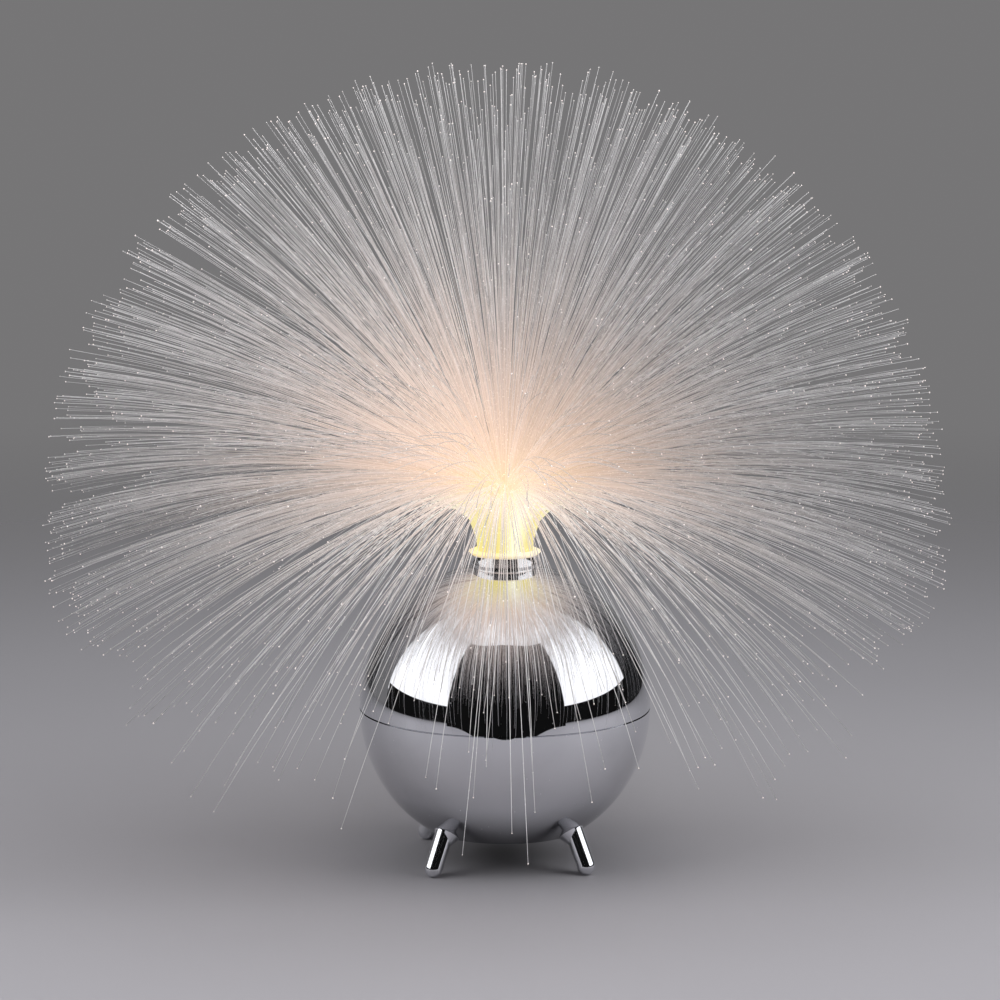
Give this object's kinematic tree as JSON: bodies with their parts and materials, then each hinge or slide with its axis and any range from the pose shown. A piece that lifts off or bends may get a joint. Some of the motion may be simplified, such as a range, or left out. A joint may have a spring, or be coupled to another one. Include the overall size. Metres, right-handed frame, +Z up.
{
  "type": "fibre optic lamp",
  "caption": "Fibre optic table lamp: chromed two-part ball on four splayed round feet, flared neck collar and a drooping fountain of light-guide fibres lit at the root.",
  "frame": {"origin": "on the floor under the middle of the ball, at the centre of the four feet", "axes": "+Z up along the axis of the ball, collar and spray; -Y is the front that the picture shows; the switch is at the rear, +Y"},
  "size_m": [0.373, 0.3728, 0.3275],
  "materials": {
    "chrome_shell": "mirror-bright plating",
    "chrome_collar": "mirror-bright plating",
    "chrome_foot": "mirror-bright plating",
    "steel": "zinc plated",
    "brass": "plain",
    "dark_plastic": "moulded, fine texture",
    "white_plastic": "moulded",
    "fibre": "clear drawn plastic fibre",
    "lit_fibre": "lit from below",
    "clear_sleeve": "clear moulding, glows where the bundle lights it",
    "amber_gel": "tinted film",
    "rose_gel": "tinted film",
    "blue_gel": "tinted film",
    "circuit_board": "solder mask",
    "lamp_lens": "clear lens, lit",
    "reflector": "metallised",
    "cell_jacket": "printed sleeve, plain",
    "wire_jacket": "plain"
  },
  "bodies": {
    "base": {"upper_shell": "chrome_shell", "lower_shell": "chrome_shell", "neck_collar": "chrome_collar", "collar_nut": "steel", "foot_front_left": "chrome_foot", "foot_front_right": "chrome_foot", "foot_rear_left": "chrome_foot", "foot_rear_right": "chrome_foot", "foot_screws": "steel", "motor_can": "steel", "motor_gearbox": "brass", "motor_bracket": "steel", "bracket_screws": "steel", "chassis": "dark_plastic", "chassis_screws": "steel", "lamp_board": "circuit_board", "lamp_lens": "lamp_lens", "reflector": "reflector", "battery_tray": "dark_plastic", "battery_cell_1": "cell_jacket", "battery_cell_2": "cell_jacket", "battery_cell_3": "cell_jacket", "cell_springs": "steel", "cell_contacts": "brass", "switch_case": "dark_plastic", "switch_screws": "steel", "wiring": "wire_jacket"},
    "spray": {"fibre_ferrule": "clear_sleeve", "fibre_bundle": "lit_fibre", "fibre_spray_1": "fibre", "fibre_spray_2": "fibre", "fibre_spray_3": "fibre", "fibre_spray_4": "fibre", "fibre_spray_5": "fibre", "fibre_spray_6": "fibre"},
    "wheel": {"wheel_frame": "white_plastic", "gel_amber": "amber_gel", "gel_rose": "rose_gel", "gel_blue": "blue_gel", "motor_shaft": "steel"},
    "door": {"battery_door": "dark_plastic"},
    "knob": {"switch_knob": "dark_plastic"}
  },
  "joints": [
    {"name": "spray_lift", "type": "slide", "parent": "base", "child": "spray", "axis": [0, 0, 1], "range_m": [0, 0.03]},
    {"name": "wheel_spin", "type": "hinge", "parent": "base", "child": "wheel", "pos_m": [0, 0.0155, 0.0969], "axis": [0, 0, 1], "continuous": true},
    {"name": "door_slide", "type": "slide", "parent": "base", "child": "door", "axis": [1, 0, 0], "range_m": [0, 0.055]},
    {"name": "switch_slide", "type": "slide", "parent": "base", "child": "knob", "axis": [1, 0, 0], "range_m": [0, 0.004]}
  ]
}
